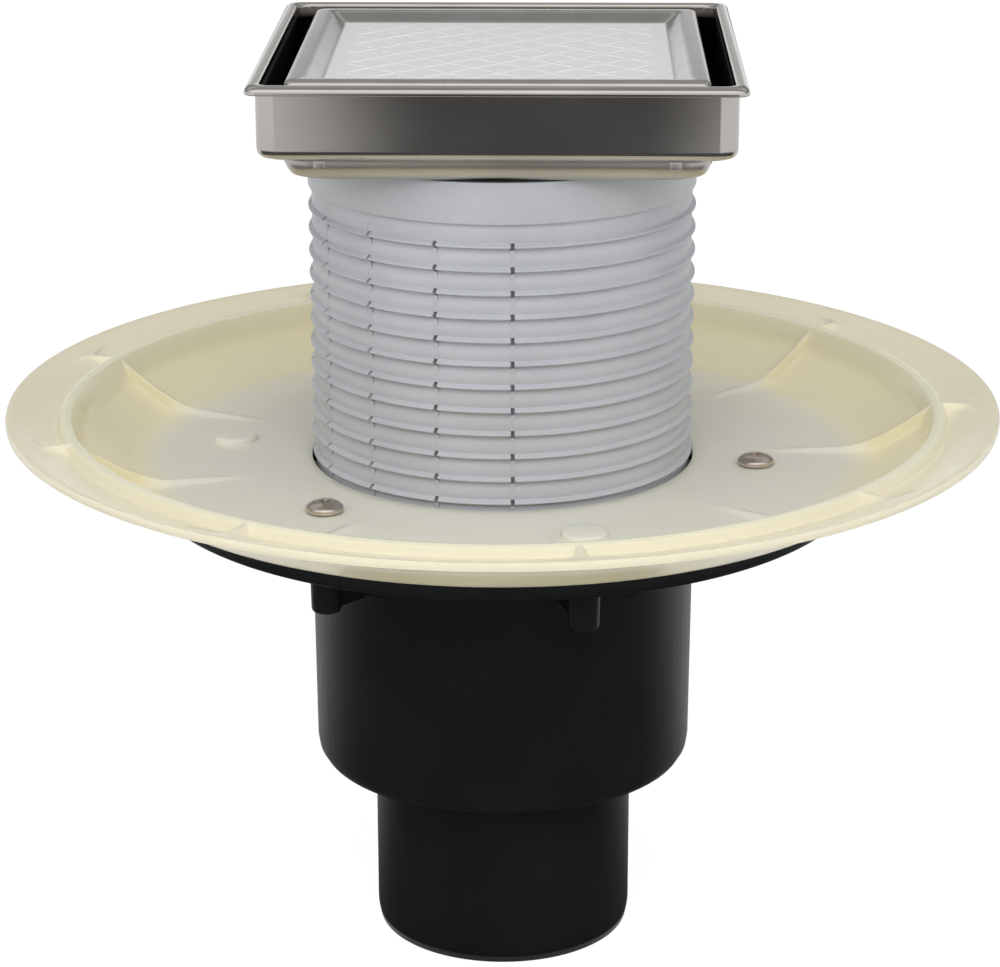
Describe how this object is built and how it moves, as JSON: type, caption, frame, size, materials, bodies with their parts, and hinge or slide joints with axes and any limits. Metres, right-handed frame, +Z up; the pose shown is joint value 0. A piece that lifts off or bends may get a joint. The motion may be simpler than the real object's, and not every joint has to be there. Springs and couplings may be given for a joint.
{
  "type": "floor drain with tile insert",
  "caption": "Square floor drain: steel frame and tile tray on a ringed plastic neck, round sealing collar, and a black body with a water trap and a vertical outlet.",
  "frame": {"origin": "centre of the outlet's end face, at the bottom of the part", "axes": "+Z up along the outlet and the neck, towards the frame; +X and +Y along the frame's sides; the picture looks along +Y"},
  "size_m": [0.281, 0.281, 0.263],
  "materials": {
    "black_pp": "injection moulded, satin",
    "ivory_pp": "injection moulded, slightly translucent",
    "grey_abs": "injection moulded, satin",
    "stainless": "deep drawn and polished",
    "screw_steel": "cold headed, plain",
    "black_rubber": "moulded",
    "white_pp": "injection moulded",
    "bail_steel": "bent wire"
  },
  "bodies": {
    "root": {"drain_body": "black_pp", "collar_gasket": "black_rubber", "collar": "ivory_pp", "collar_screws": "screw_steel", "trap_cup": "white_pp", "trap_seal": "black_rubber", "trap_bell": "white_pp"},
    "bail": {"trap_bail": "bail_steel"},
    "seal": {"neck_seal": "black_rubber"},
    "neck_unit": {"neck": "grey_abs", "frame_pan": "stainless", "pan_gasket": "black_rubber", "lock_ring": "grey_abs", "tile_tray": "stainless", "tray_feet": "stainless", "hair_strainer": "white_pp"}
  },
  "joints": [
    {"name": "neck_height", "type": "slide", "parent": "root", "child": "seal", "axis": [0, 0, 1], "range_m": [0, 0.015]},
    {"name": "neck_turn", "type": "hinge", "parent": "seal", "child": "neck_unit", "pos_m": [0, 0, 0.2], "axis": [0, 0, 1], "continuous": true},
    {"name": "bail_hinge", "type": "hinge", "parent": "root", "child": "bail", "pos_m": [0, 0, 0.1298], "axis": [1, 0, 0], "range_deg": [0, 180]}
  ]
}
